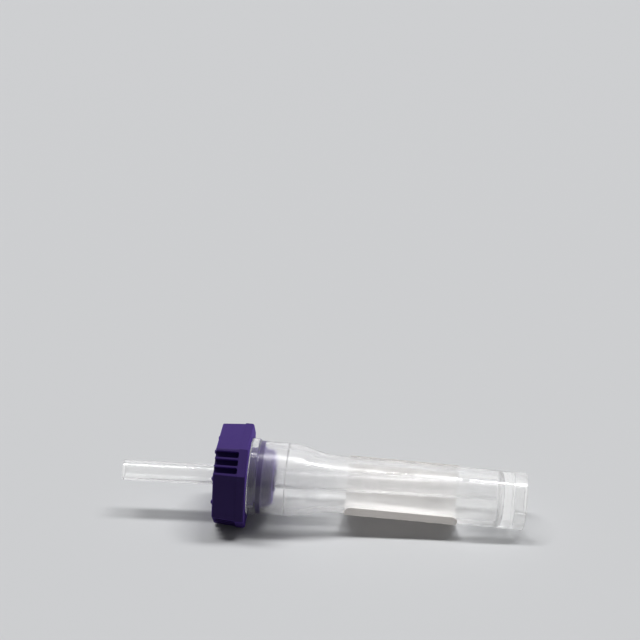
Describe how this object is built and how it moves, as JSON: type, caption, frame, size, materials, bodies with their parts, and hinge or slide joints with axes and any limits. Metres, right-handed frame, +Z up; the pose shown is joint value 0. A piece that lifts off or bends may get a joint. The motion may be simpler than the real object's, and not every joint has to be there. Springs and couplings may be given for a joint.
{
  "type": "capillary blood collection tube",
  "caption": "Clear small blood tube with a false bottom, purple push-in cap with a square ribbed head, open end-to-end capillary and wrapped white label.",
  "frame": {"origin": "centre of the underside of the bounding box, on the bench the tube lies on", "axes": "+Z up from the bench; +X towards the tube's base end, the capillary points to -X; the tube axis lies in the XZ plane, raised by the cap's rim"},
  "size_m": [0.058, 0.013, 0.013],
  "materials": {
    "tube_plastic": "clear, slightly hazy, glossy moulding",
    "cap_plastic": "satin soft moulding, purple",
    "capillary_plastic": "clear and glossy",
    "label_paper": "matt white label stock"
  },
  "bodies": {
    "tube": {"tube_body": "tube_plastic", "label": "label_paper"},
    "cap": {"cap": "cap_plastic"},
    "capillary": {"capillary": "capillary_plastic"}
  },
  "joints": [
    {"name": "cap_pull", "type": "slide", "parent": "tube", "child": "cap", "axis": [-0.9982, 0, 0.0606], "range_m": [0, 0.045]},
    {"name": "capillary_slide", "type": "slide", "parent": "cap", "child": "capillary", "axis": [-0.9999, 0, 0.0153], "range_m": [0, 0.045]}
  ]
}
